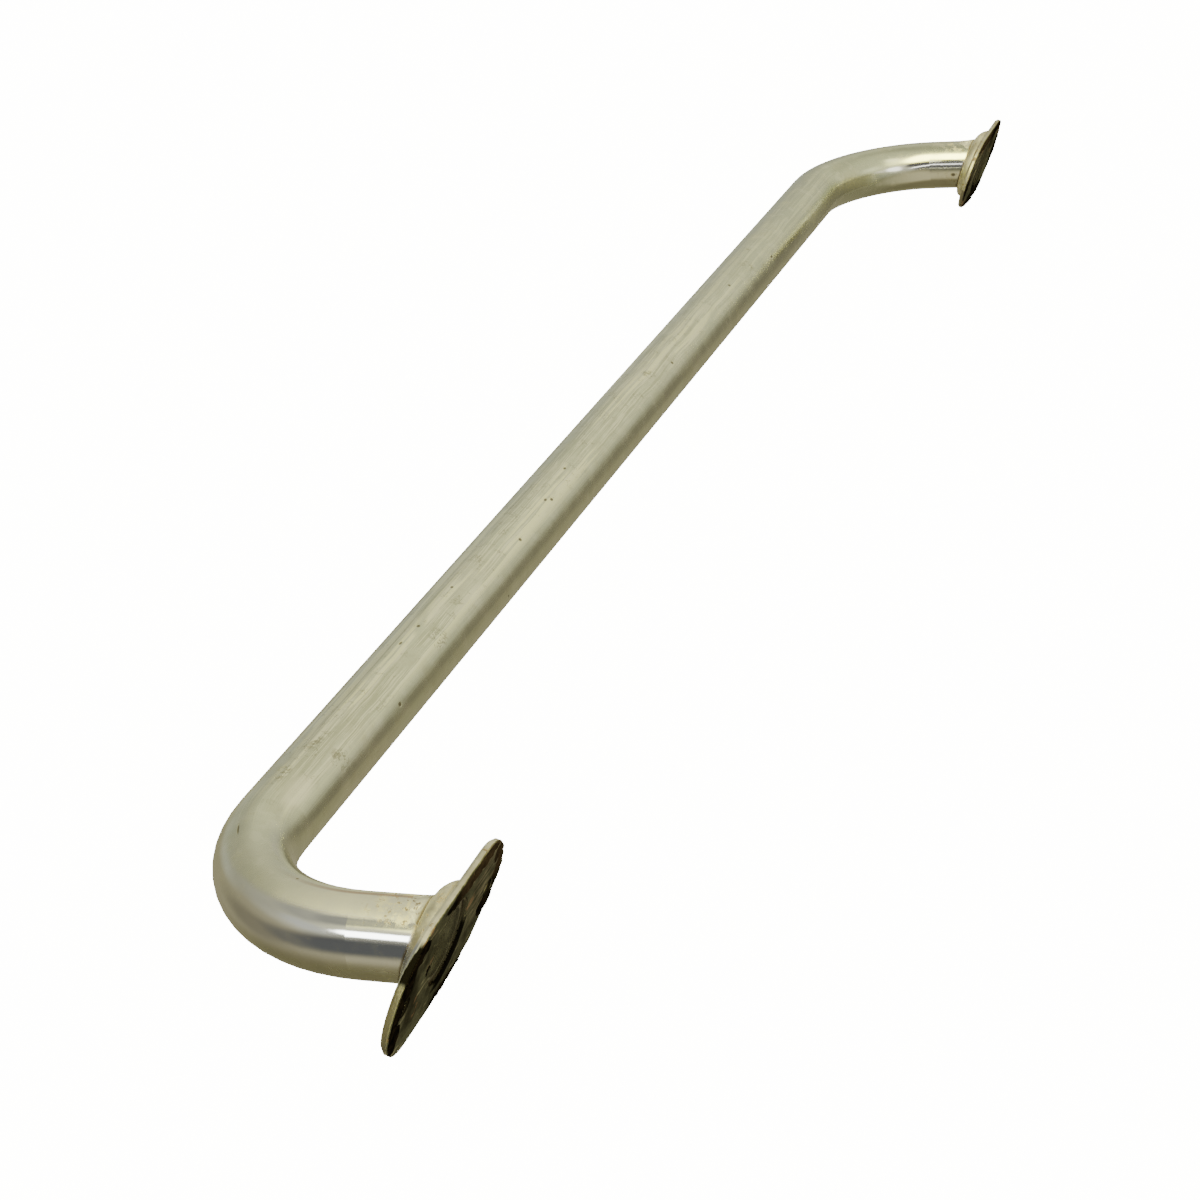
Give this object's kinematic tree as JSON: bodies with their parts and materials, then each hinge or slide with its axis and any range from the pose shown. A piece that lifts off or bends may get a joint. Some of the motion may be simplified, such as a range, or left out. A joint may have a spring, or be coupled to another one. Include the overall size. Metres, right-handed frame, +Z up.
{
  "type": "grab handle",
  "caption": "Straight tubular hand bar on bent legs, welded at a lean to flat obround base plates with countersunk screw holes.",
  "frame": {"origin": "in the mounting plane of the base plates, midway between them", "axes": "+X along the hand bar, +Y into the wall the plates are screwed to, +Z up across the plates; the bar hangs out and down from the plates"},
  "size_m": [0.8676, 0.0882, 0.0628],
  "materials": {
    "polished_tube": "polished, dulled by use",
    "base_plate": "satin, oxidised and soiled",
    "weld_metal": "dressed smooth",
    "old_sealant": "dried bedding compound"
  },
  "bodies": {
    "root": {"grip_tube": "polished_tube", "left_base_plate": "base_plate", "right_base_plate": "base_plate", "left_weld": "weld_metal", "right_weld": "weld_metal"}
  },
  "joints": []
}
